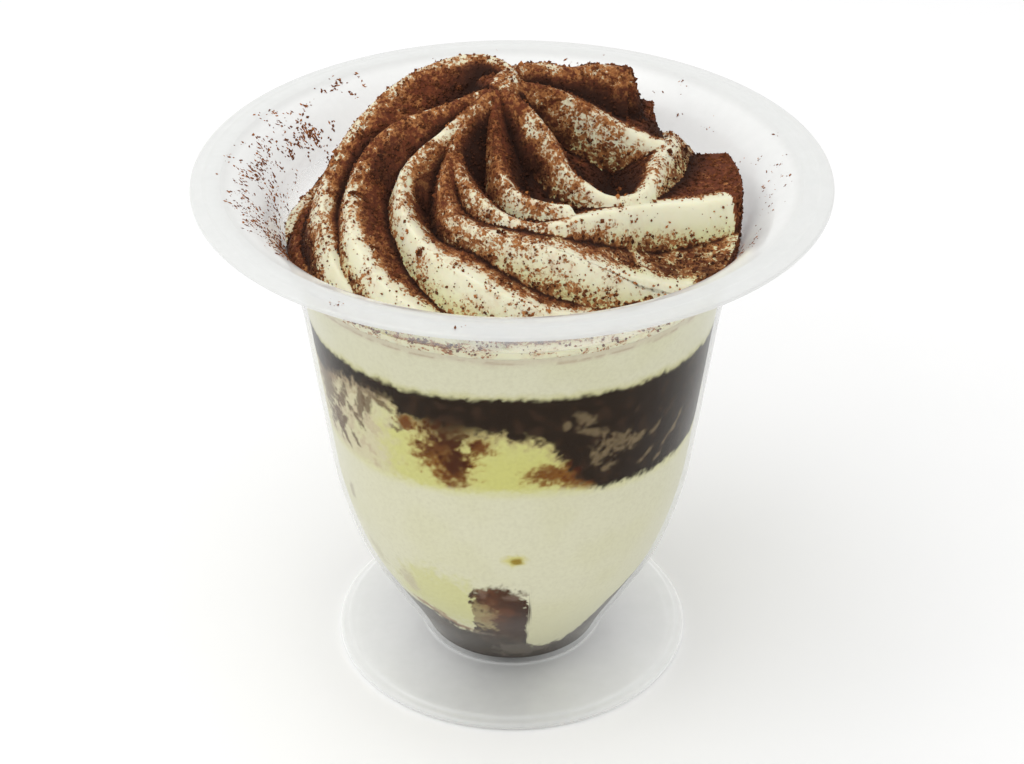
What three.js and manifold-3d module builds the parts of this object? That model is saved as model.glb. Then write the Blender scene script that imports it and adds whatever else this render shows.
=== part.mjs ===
// Tiramisu in a clear footed dessert cup: two soaked sponge layers, two cream layers
// and a piped cream swirl dusted with cocoa.
// Millimetres, +Z up, origin at the centre of the foot's underside.
// Angles are in degrees about +Z: 0 is +X (the right), -90 is the front.

import * as THREE from 'three';
import { mergeVertices } from 'three/addons/utils/BufferGeometryUtils.js';
import Module from 'manifold-3d';

// ---- Driving dimensions ----

const RIM_RADIUS = 45;
const RIM_HEIGHT = 79.5;
const BRIM_THICKNESS = 0.7;
const FOOT_RADIUS = 27;
const FOOT_TOP = 1.85;
const WALL = 0.8;
const FLOOR_HEIGHT = 2.8;

// Radius of the cup's outside at each height, from the foot's top to the brim's crease.
const OUTER_WALL = [
  [13.7, 1.9], [15.7, 6], [19.1, 12], [23.3, 20], [26.3, 30], [27.8, 40],
  [29.1, 50], [30.4, 60], [31.6, 65.5], [33.1, 70], [35.2, 74], [37.9, 77], [41.2, 78.8],
];

const GAP = 0.3; // kept between every two pieces that touch in the real dessert
const SPONGE_BASE_TOP = 12.5; // heights on the axis of the boundaries between layers
const LOWER_CREAM_TOP = 43.3;
const UPPER_SPONGE_TOP = 59.5;
const UPPER_CREAM_TOP = 67.6;

// The same boundaries where they meet the wall: angle and height, joined by straight lines.
const SPONGE_BASE_EDGE = [
  [-180, 14], [-150, 15], [-132, 16.5], [-126, 18], [-120, 25], [-114, 27], [-102, 25.5],
  [-90, 25.2], [-84, 22], [-78, 8.5], [-66, 9.5], [-54, 12], [-42, 14.5], [-30, 15], [-12, 14],
  [12, 11], [36, 10.5], [60, 17], [78, 16.5], [96, 10], [114, 11], [138, 16.5], [156, 15.5],
];
const LOWER_CREAM_EDGE = [
  [-180, 42.6], [-150, 42.3], [-120, 42.9], [-93, 43.7], [-75, 43.5], [-60, 42.3], [-30, 41.3],
  [0, 42.2], [45, 43.2], [90, 43.6], [135, 42.9],
];
const UPPER_SPONGE_EDGE = [
  [-180, 59.4], [-150, 59.1], [-120, 59.3], [-93, 60.2], [-75, 59.8], [-45, 59], [-22, 58.3],
  [0, 58.3], [45, 59], [90, 59.7], [135, 59.4],
];

const SWIRL_CENTRE = [-2, 3];
const SWIRL_PEAK = 91;
const SWIRL_CORE_PEAK = 82; // top of the smooth core under the ridges
const SWIRL_CORE_FALL = 0.019; // the core drops by this much times the radius squared
const SWIRL_SKIRT = 68.9; // least height of the swirl's edge
const CREST_ROUNDING = 0.9;
const END_SLOPE = 4; // steepness of a ridge's cut end
const SHELF_WIDTH = 14; // reach of a ridge's inner side, beyond which it falls at SHELF_FALL
const SHELF_FALL = 1.5;

// The swirl's ridges, each like a terrace with a steep outer wall and a shelf on its inner side.
// `crest` holds its knots after the peak: direction and distance from the swirl's centre, and
// height. `outer` and `inner` are the slopes of its two sides, at even steps from the peak to the
// end. `shelf` is how far the inner side reaches on past the crest's end.
const RIDGES = [
  {
    crest: [
      [110, 8, 89], [146, 16, 83], [176, 23, 75.8], [191, 28, 73], [203, 30, 71.6],
      [216, 31.2, 70.4],
    ],
    outer: [1.8, 2.2, 3], inner: [1.2, 0.6, 0.3], shelf: 0,
  },
  {
    crest: [
      [65, 5, 91.3], [107, 9, 91.8], [150, 12.5, 90.7], [175, 16.5, 88.6], [188, 20.5, 85.7],
      [199, 25.3, 80.6], [213, 28, 77.2], [223, 30, 74.3], [236, 31.5, 71.5],
    ],
    outer: [2, 3, 3], inner: [1, 0.7, 0.2], shelf: 0,
  },
  {
    crest: [
      [207, 8.5, 89.7], [200, 15, 87.8], [203, 20, 84.2], [214, 24.2, 80.4],
      [225, 27.5, 78.3], [237, 30.2, 75.6], [249, 31.6, 73], [260, 32.3, 70.8],
    ],
    outer: [2, 3.2, 3.5], inner: [1.9, 0.5, 0], shelf: 6,
  },
  {
    crest: [
      [229, 6, 89.6], [222, 15.5, 85.3], [226, 19, 81.8], [242, 23.5, 79], [260, 28, 77],
      [281, 31, 73.2], [298, 31.8, 70.4],
    ],
    outer: [2.4, 4.2, 4.5], inner: [2.6, 1.8, 0.1, -0.12], shelf: 7,
  },
  {
    crest: [
      [229, 6, 89.3], [237, 12, 85.6], [243, 15.5, 83], [252, 19, 80.8], [268, 22.3, 79.9],
      [288, 26, 78.4], [308, 29.8, 74], [322, 32.8, 70.6],
    ],
    outer: [2.2, 3.6, 4.5], inner: [2.2, 1.4, 0, -0.2], shelf: 14,
  },
  {
    crest: [
      [226, 6, 88.6], [238, 11, 85.8], [254, 14.5, 83.2], [269, 18, 81], [284, 20.8, 80.1],
      [301, 21.5, 80.3], [316, 22, 79.6], [333, 24.8, 78.4], [346, 33.5, 77.6],
    ],
    outer: [2.8, 4, 5], inner: [2.4, 1.2, 0.5, 0], shelf: 11,
  },
  {
    crest: [
      [262, 4, 88.9], [268, 7.5, 86.3], [271, 11, 84.2], [278, 14.5, 82.4],
      [289, 17.5, 81.6], [299, 20, 81.4],
    ],
    outer: [3.6, 4], inner: [1.8, 1], shelf: 0,
  },
  {
    crest: [
      [319, 5, 90], [320, 8.5, 87.6], [313, 13, 84], [316, 17, 81.8], [321, 20, 80.3],
      [331, 22.3, 79.9], [342, 22.6, 80.5], [352, 22.8, 81.2], [366, 24.3, 81],
      [380, 26.5, 79.5],
    ],
    outer: [3, 4, 2.5, 1.2], inner: [2.8, 1.6, 0.8, 0.5], shelf: 0,
  },
  {
    crest: [
      [35, 5, 90], [24, 9.5, 88.3], [9, 14.4, 85.6], [6, 18, 83.8], [3, 21, 82.4],
      [3, 23.6, 81.6],
    ],
    outer: [3, 5, 5], inner: [1, 0.2, 0.1], shelf: 0,
  },
  {
    crest: [
      [70, 5, 91.3], [50, 9.5, 90.9], [37, 12.5, 90.2], [30, 16.6, 90.2], [24, 20.4, 89.6],
    ],
    outer: [1.6, 2.4], inner: [0.9, 0.5], shelf: 0,
  },
  {
    crest: [
      [70, 8, 89.6], [62, 16, 85.5], [58, 23.6, 80], [70, 30, 75], [86, 31.8, 71],
    ],
    outer: [1.8, 3], inner: [1.2, 0.4, 0.2], shelf: 0,
  },
  {
    crest: [
      [85, 8, 89.6], [80, 16, 85.2], [88, 23.6, 79], [108, 29.8, 74], [125, 31.8, 70.5],
    ],
    outer: [1.8, 3], inner: [1.2, 0.4, 0.2], shelf: 0,
  },
  {
    crest: [
      [98, 8, 89.3], [102, 16, 84], [118, 23.6, 77.5], [142, 29.5, 72.5], [160, 31.6, 69.8],
    ],
    outer: [1.8, 3], inner: [1.2, 0.4, 0.2], shelf: 0,
  },
  {
    crest: [
      [112, 8, 89], [126, 16, 83], [150, 23, 76], [172, 28, 71.8], [190, 31.3, 69.6],
    ],
    outer: [1.8, 3], inner: [1.2, 0.4, 0.2], shelf: 0,
  },
];

const CLUMP_COUNT = 24; // the largest clumps of cocoa
const CLUMP_RADIUS = 0.55;
const CLUMP_SEED = 11;

// How finely the round shapes are divided.
const CUP_SIDES = 56;
const CUP_WALL_STEPS = 11;
const LAYER_SIDES = 60;
const SWIRL_SIDES = 90;
const SWIRL_RINGS = 23;
const SWIRL_TWIST = 80; // turn of the facets from the middle to the edge, along the ridges
const RIDGE_STEPS = 26;
const CREST_START = 0.25; // a crest starts this share of the way to its first knot

const toRadians = (degrees) => (degrees * Math.PI) / 180;

// ---- Cup ----

const outerCurve = new THREE.SplineCurve(OUTER_WALL.map(([r, z]) => new THREE.Vector2(r, z)));

// Point of the inner wall opposite the outer wall's point at t, one wall thickness inwards.
function innerPoint(t) {
  const outer = outerCurve.getPoint(t);
  const tangent = outerCurve.getTangent(t);
  return new THREE.Vector2(outer.x - tangent.y * WALL, outer.y + tangent.x * WALL);
}

function sampleRange(count, pointAt) {
  return Array.from({ length: count + 1 }, (_, i) => pointAt(i / count));
}

// Share of the way up the wall at which the inner surface leaves the floor.
function shareAtFloor() {
  let share = 0;
  while (innerPoint(share).y < FLOOR_HEIGHT) {
    share += 0.002;
  }
  return share;
}

const innerStart = shareAtFloor();
const innerWall = sampleRange(CUP_WALL_STEPS, (t) => innerPoint(innerStart + t * (1 - innerStart)));

// Inner radius of the cup at height z.
function innerRadius(z) {
  const i = Math.max(innerWall.findIndex((point) => point.y >= z), 1);
  const [low, high] = [innerWall[i - 1], innerWall[i]];
  return low.x + ((z - low.y) / (high.y - low.y)) * (high.x - low.x);
}

function cupOutline() {
  const underside = [
    [0, 0.8], [24.2, 0.8], [24.6, 0], [FOOT_RADIUS - 0.4, 0],
    [FOOT_RADIUS, 0.5], [FOOT_RADIUS - 0.25, 1.1], [FOOT_RADIUS - 1, 1.45], [15.2, FOOT_TOP - 0.05],
  ];
  const brim = [
    [RIM_RADIUS - 0.6, RIM_HEIGHT - BRIM_THICKNESS - 0.3], [RIM_RADIUS, RIM_HEIGHT - 0.65],
    [RIM_RADIUS - 0.2, RIM_HEIGHT - 0.3], [43.2, RIM_HEIGHT - 0.05], [41.4, RIM_HEIGHT],
  ];
  const outside = sampleRange(CUP_WALL_STEPS, (t) => outerCurve.getPoint(t));
  const inside = [...innerWall].reverse();
  const floor = [[innerWall[0].x - 1, FLOOR_HEIGHT - 0.15], [0, FLOOR_HEIGHT - 0.15]];
  const toPoint = ([r, z]) => new THREE.Vector2(r, z);
  return [...underside.map(toPoint), ...outside, ...brim.map(toPoint), ...inside, ...floor.map(toPoint)];
}

function lathe(outline, sides) {
  const geometry = new THREE.LatheGeometry(outline, sides);
  geometry.rotateX(Math.PI / 2);
  geometry.deleteAttribute('normal');
  geometry.deleteAttribute('uv');
  return mergeVertices(geometry, 1e-4);
}

// ---- Layers ----

// Height of a boundary at the wall, between the two knots on either side of the angle.
function edgeHeight(edge, angle) {
  const turned = ((((angle + 180) % 360) + 360) % 360) - 180;
  const knots = [...edge, [edge[0][0] + 360, edge[0][1]]];
  const next = Math.max(knots.findIndex(([knot]) => knot > turned), 1);
  const [[lowAngle, low], [highAngle, high]] = [knots[next - 1], knots[next]];
  return low + ((turned - lowAngle) / (highAngle - lowAngle)) * (high - low);
}

// A boundary as a height at (angle, share of the radius), flat in the middle.
function boundary(middle, edge) {
  return (angle, share) => middle + (edgeHeight(edge, angle) - middle) * share ** 2;
}

const boundaries = {
  floor: () => FLOOR_HEIGHT,
  spongeBase: boundary(SPONGE_BASE_TOP, SPONGE_BASE_EDGE),
  lowerCream: boundary(LOWER_CREAM_TOP, LOWER_CREAM_EDGE),
  upperSponge: boundary(UPPER_SPONGE_TOP, UPPER_SPONGE_EDGE),
  upperCream: () => UPPER_CREAM_TOP,
};

// A closed solid filling the cup between two boundaries, each a height at (angle, share of radius).
function layerGeometry(bottom, top, { capRings, sideSteps, sides }) {
  const positions = [];
  const indices = [];
  const rings = [];
  const heightBelow = (angle, share) => bottom(angle, share) + GAP / 2;
  const heightAbove = (angle, share) => top(angle, share) - GAP / 2;

  function addRing(pointAt) {
    const start = positions.length / 3;
    for (let i = 0; i < sides; i += 1) {
      positions.push(...pointAt((360 * i) / sides));
    }
    rings.push(start);
  }
  function addCap(heightAtWall, heightAt, shares) {
    for (const share of shares) {
      addRing((angle) => {
        const radius = share * (innerRadius(heightAtWall(angle, 1)) - GAP);
        const a = toRadians(angle);
        return [radius * Math.cos(a), radius * Math.sin(a), heightAt(angle, share)];
      });
    }
  }

  // The cells are split along the same diagonal above and below a boundary, so that
  // neighbouring layers have matching facets.
  const shares = Array.from({ length: capRings }, (_, i) => (i + 1) / capRings);
  addCap(bottom, heightBelow, shares);
  for (let step = 1; step < sideSteps; step += 1) {
    addRing((angle) => {
      const low = heightBelow(angle, 1);
      const z = low + ((heightAbove(angle, 1) - low) * step) / sideSteps;
      const a = toRadians(angle);
      const radius = innerRadius(z) - GAP;
      return [radius * Math.cos(a), radius * Math.sin(a), z];
    });
  }
  addCap(top, heightAbove, shares.reverse());
  for (let ring = 1; ring < rings.length; ring += 1) {
    joinRings(indices, rings[ring - 1], rings[ring], sides, ring < capRings);
  }
  closeWithCentre(positions, indices, rings[0], sides, [0, 0, heightBelow(0, 0)], true);
  closeWithCentre(positions, indices, rings.at(-1), sides, [0, 0, heightAbove(0, 0)], false);
  return indexedGeometry(positions, indices);
}

// Two triangles for each cell between one ring and the next, facing outwards.
function joinRings(indices, from, to, sides, otherDiagonal) {
  for (let i = 0; i < sides; i += 1) {
    const next = (i + 1) % sides;
    const [a, b, c, d] = [from + i, from + next, to + i, to + next];
    indices.push(...(otherDiagonal ? [a, b, c, b, d, c] : [a, b, d, a, d, c]));
  }
}

// A fan from a centre point to a ring, facing down or up.
function closeWithCentre(positions, indices, ring, sides, centre, facesDown) {
  const middle = positions.length / 3;
  positions.push(...centre);
  for (let i = 0; i < sides; i += 1) {
    const next = (i + 1) % sides;
    indices.push(...(facesDown ? [middle, ring + next, ring + i] : [middle, ring + i, ring + next]));
  }
}

function indexedGeometry(positions, indices) {
  const geometry = new THREE.BufferGeometry();
  geometry.setAttribute('position', new THREE.Float32BufferAttribute(positions, 3));
  geometry.setIndex(indices);
  return geometry;
}

// ---- Cream swirl ----

const cubic = (a, b, c, d, t) =>
  0.5 * (2 * b + (c - a) * t + (2 * a - 5 * b + 4 * c - d) * t ** 2 + (3 * b - a - 3 * c + d) * t ** 3);

// Points along a crest, smoothly from the peak through the ridge's knots.
function crestPoints(knots) {
  const first = [2 * knots[0][0] - knots[1][0], 0, SWIRL_PEAK];
  const before = [2 * first[0] - knots[0][0], -knots[0][1], knots[0][2]];
  const last = knots.at(-1).map((value, k) => 2 * value - knots.at(-2)[k]);
  const all = [before, first, ...knots, last];
  return Array.from({ length: RIDGE_STEPS + 1 }, (_, i) => {
    const place = CREST_START + ((knots.length - CREST_START) * i) / RIDGE_STEPS;
    const index = Math.min(Math.floor(place), knots.length - 1);
    const [p, q, r, s] = all.slice(index, index + 4);
    const [angle, radius, z] = p.map((value, k) => cubic(value, q[k], r[k], s[k], place - index));
    const a = toRadians(angle);
    return [SWIRL_CENTRE[0] + radius * Math.cos(a), SWIRL_CENTRE[1] + radius * Math.sin(a), z];
  });
}

const ridges = RIDGES.map((ridge) => ({ ...ridge, points: crestPoints(ridge.crest) }));

// The value at a share from 0 to 1 of a list of evenly spaced values.
function valueAlong(values, share) {
  const place = share * (values.length - 1);
  const index = Math.min(Math.floor(place), Math.max(values.length - 2, 0));
  const next = Math.min(index + 1, values.length - 1);
  return values[index] + (values[next] - values[index]) * (place - index);
}

// How far the surface lies below a crest on its outer side.
function outerDrop({ outer }, distance, share, past) {
  const slope = valueAlong(outer, share);
  const rounded = Math.hypot(distance, CREST_ROUNDING) - CREST_ROUNDING;
  return (past > 0 ? Math.max(slope, END_SLOPE) : slope) * rounded;
}

// How far the surface lies below a crest on its inner side.
function innerDrop({ inner, shelf }, distance, share, past) {
  const rounded = Math.hypot(distance, CREST_ROUNDING) - CREST_ROUNDING;
  const beyond = SHELF_FALL * Math.max(distance - SHELF_WIDTH, 0);
  return valueAlong(inner, share) * rounded + beyond + END_SLOPE * Math.max(past - shelf, 0);
}

// Height of one ridge's surface above (x, y): its crest less the drop down either side.
function ridgeHeight(ridge, x, y) {
  const steps = ridge.points.length - 1;
  let nearest = { distance: Infinity };
  for (let i = 0; i < steps; i += 1) {
    const [ax, ay, az] = ridge.points[i];
    const [bx, by, bz] = ridge.points[i + 1];
    const [dx, dy] = [bx - ax, by - ay];
    const along = ((x - ax) * dx + (y - ay) * dy) / (dx * dx + dy * dy);
    const t = Math.min(Math.max(along, 0), 1);
    const [ex, ey] = [x - ax - t * dx, y - ay - t * dy];
    const distance = Math.hypot(ex, ey);
    if (distance < nearest.distance) {
      const past = i === steps - 1 ? Math.max(along - 1, 0) * Math.hypot(dx, dy) : 0;
      const drop = dx * ey - dy * ex > 0 ? innerDrop : outerDrop;
      nearest = { distance, past, drop, share: (i + t) / steps, crest: az + t * (bz - az) };
    }
  }
  const { distance, past, drop, share, crest } = nearest;
  return crest - drop(ridge, distance, share, past);
}

function creamHeight(x, y) {
  const radius = Math.hypot(x - SWIRL_CENTRE[0], y - SWIRL_CENTRE[1]);
  const core = SWIRL_CORE_PEAK - SWIRL_CORE_FALL * radius ** 2;
  return Math.max(SWIRL_SKIRT, core, ...ridges.map((ridge) => ridgeHeight(ridge, x, y)));
}

const swirlBase = UPPER_CREAM_TOP + GAP / 2;
const swirlRadius = innerRadius(swirlBase) - GAP;

function swirlGeometry() {
  const positions = [];
  const indices = [];
  const rings = [];
  const addRing = (share, heightAt) => {
    rings.push(positions.length / 3);
    const turn = toRadians(SWIRL_TWIST) * Math.max(0, (share - 0.4) / 0.6) ** 1.3;
    for (let i = 0; i < SWIRL_SIDES; i += 1) {
      const a = turn + (2 * Math.PI * i) / SWIRL_SIDES;
      const x = SWIRL_CENTRE[0] * (1 - share) + share * swirlRadius * Math.cos(a);
      const y = SWIRL_CENTRE[1] * (1 - share) + share * swirlRadius * Math.sin(a);
      positions.push(x, y, heightAt(x, y));
    }
  };
  addRing(1, () => swirlBase);
  for (let ring = SWIRL_RINGS; ring > 0; ring -= 1) {
    addRing(ring / SWIRL_RINGS, creamHeight);
  }
  for (let ring = 1; ring < rings.length; ring += 1) {
    joinRings(indices, rings[ring - 1], rings[ring], SWIRL_SIDES, false);
  }
  closeWithCentre(positions, indices, rings[0], SWIRL_SIDES, [0, 0, swirlBase], true);
  const [x, y] = SWIRL_CENTRE;
  closeWithCentre(positions, indices, rings.at(-1), SWIRL_SIDES, [x, y, creamHeight(x, y)], false);
  return indexedGeometry(positions, indices);
}

// A seeded random number generator with values from 0 to 1.
function seededRandom(seed) {
  let state = seed;
  return () => {
    state = (state * 1664525 + 1013904223) % 4294967296;
    return state / 4294967296;
  };
}

// The largest cocoa clumps, half sunk in the swirl and spread evenly by a sunflower rule.
function cocoaClumps() {
  const random = seededRandom(CLUMP_SEED);
  return Array.from({ length: CLUMP_COUNT }, (_, i) => {
    const angle = i * toRadians(137.5) + random();
    const radius = 0.88 * swirlRadius * Math.sqrt((i + 0.5) / CLUMP_COUNT);
    const x = SWIRL_CENTRE[0] + radius * Math.cos(angle);
    const y = SWIRL_CENTRE[1] + radius * Math.sin(angle);
    const clump = new THREE.IcosahedronGeometry(CLUMP_RADIUS * (0.8 + 0.4 * random()), 0);
    clump.rotateZ(random() * Math.PI);
    clump.translate(x, y, creamHeight(x, y));
    return clump;
  });
}

// ---- Solids ----

const wasm = await Module();
wasm.setup();

function toSolid(source) {
  const bare = source.clone();
  bare.deleteAttribute('normal');
  bare.deleteAttribute('uv');
  const geometry = mergeVertices(bare, 1e-4);
  return new wasm.Manifold(new wasm.Mesh({
    numProp: 3,
    vertProperties: new Float32Array(geometry.attributes.position.array),
    triVerts: new Uint32Array(geometry.index.array),
  }));
}

function toGeometry(solid) {
  const mesh = solid.getMesh();
  return indexedGeometry(Array.from(mesh.vertProperties), Array.from(mesh.triVerts));
}

// The swirl with its clumps, less any clump that lies loose.
function dustedSwirl() {
  const fused = cocoaClumps().reduce((sum, clump) => sum.add(toSolid(clump)), toSolid(swirlGeometry()));
  const bodies = fused.decompose().sort((a, b) => b.volume() - a.volume());
  return toGeometry(bodies[0]);
}

// ---- Materials and the assembled dessert ----

const clearPlastic = new THREE.MeshStandardMaterial({ color: 0xe6e8e6, roughness: 0.15, metalness: 0 });
const cream = new THREE.MeshStandardMaterial({ color: 0xe6e2c6, roughness: 0.5, metalness: 0 });
const soakedSponge = new THREE.MeshStandardMaterial({ color: 0x4a3830, roughness: 0.8, metalness: 0 });
const dustedCream = new THREE.MeshStandardMaterial({ color: 0x9a6a4c, roughness: 0.8, metalness: 0 });

function addMesh(group, name, geometry, material) {
  geometry.computeVertexNormals();
  const mesh = new THREE.Mesh(geometry, material);
  mesh.name = name;
  group.add(mesh);
}

const { floor, spongeBase, lowerCream, upperSponge, upperCream } = boundaries;
const fine = { capRings: 4, sideSteps: 5, sides: LAYER_SIDES };
const plain = { capRings: 2, sideSteps: 3, sides: 48 };

const dessert = new THREE.Group();
addMesh(dessert, 'cup', lathe(cupOutline(), CUP_SIDES), clearPlastic);
addMesh(dessert, 'sponge_bottom', layerGeometry(floor, spongeBase, fine), soakedSponge);
addMesh(dessert, 'cream_lower', layerGeometry(spongeBase, lowerCream, fine), cream);
addMesh(dessert, 'sponge_upper', layerGeometry(lowerCream, upperSponge, plain), soakedSponge);
addMesh(dessert, 'cream_upper', layerGeometry(upperSponge, upperCream, plain), cream);
addMesh(dessert, 'cream_swirl', dustedSwirl(), dustedCream);

export default dessert;
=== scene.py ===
"""Looks of the tiramisu cup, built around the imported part.

Tables are in millimetres and in degrees about +Z: 0 is +X (the right), -90 is the front.
Meshes are made in metres.
"""

import math

import bpy
import numpy as np
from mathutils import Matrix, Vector


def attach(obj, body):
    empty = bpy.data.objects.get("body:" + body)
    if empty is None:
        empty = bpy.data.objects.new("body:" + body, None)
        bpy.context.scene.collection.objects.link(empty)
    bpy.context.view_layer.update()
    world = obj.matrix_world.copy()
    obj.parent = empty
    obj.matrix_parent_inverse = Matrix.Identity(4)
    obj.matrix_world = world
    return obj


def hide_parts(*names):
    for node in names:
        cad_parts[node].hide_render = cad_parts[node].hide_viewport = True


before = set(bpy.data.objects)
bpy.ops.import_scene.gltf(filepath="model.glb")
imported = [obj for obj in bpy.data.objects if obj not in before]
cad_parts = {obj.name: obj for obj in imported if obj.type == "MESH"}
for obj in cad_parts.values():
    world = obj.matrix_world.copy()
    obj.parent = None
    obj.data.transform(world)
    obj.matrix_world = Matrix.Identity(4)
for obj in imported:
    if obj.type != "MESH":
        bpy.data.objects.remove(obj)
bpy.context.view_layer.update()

MM = 0.001

# ---- The part's own dimensions ----

RIM_RADIUS = 45
RIM_HEIGHT = 79.5
BRIM_THICKNESS = 0.7
FOOT_RADIUS = 27
FOOT_TOP = 1.85
WALL = 0.8
FLOOR_HEIGHT = 2.8
WALL_STEPS = 721
WALL_STRIDE = 8  # the mesh has every so many of the wall's steps

OUTER_WALL = [
    [13.7, 1.9], [15.7, 6], [19.1, 12], [23.3, 20], [26.3, 30], [27.8, 40],
    [29.1, 50], [30.4, 60], [31.6, 65.5], [33.1, 70], [35.2, 74], [37.9, 77], [41.2, 78.8],
]

SPONGE_BASE_TOP = 12.5
LOWER_CREAM_TOP = 43.3
UPPER_SPONGE_TOP = 59.5
UPPER_CREAM_TOP = 67.6

# Heights of the boundaries where they meet the wall.
SPONGE_BASE_EDGE = [
    [-180, 14], [-150, 15], [-132, 16.5], [-126, 18], [-122, 24.5], [-114, 27], [-107, 25.3],
    [-98, 25.5], [-89, 25.2], [-83.8, 22.6], [-81.6, 11], [-79, 8.6], [-72, 7.8], [-62, 9],
    [-56, 11], [-50, 13.2], [-42, 14.5], [-30, 15], [-12, 14],
    [12, 11], [36, 10.5], [52, 12], [60, 17], [78, 16.5], [86, 12], [96, 10], [114, 11],
    [138, 16.5], [156, 15.5],
]
LOWER_CREAM_EDGE = [
    [-180, 42.6], [-150, 42.3], [-120, 42.9], [-93, 43.7], [-75, 43.5], [-60, 42.3], [-30, 41.3],
    [0, 42.2], [45, 43.2], [90, 43.6], [135, 42.9],
]
UPPER_SPONGE_EDGE = [
    [-180, 59.4], [-150, 59.1], [-120, 59.3], [-93, 60.2], [-75, 59.8], [-45, 59], [-22, 58.3],
    [0, 58.3], [45, 59], [90, 59.7], [135, 59.4],
]

SWIRL_CENTRE = (-2, 3)
SWIRL_PEAK = 91
SWIRL_CORE_PEAK = 82
SWIRL_CORE_FALL = 0.019
SWIRL_SKIRT = 68.9
CREST_ROUNDING = 0.9
END_SLOPE = 4
SHELF_WIDTH = 14
SHELF_FALL = 1.5
RIDGE_STEPS = 26
CREST_START = 0.25

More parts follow.
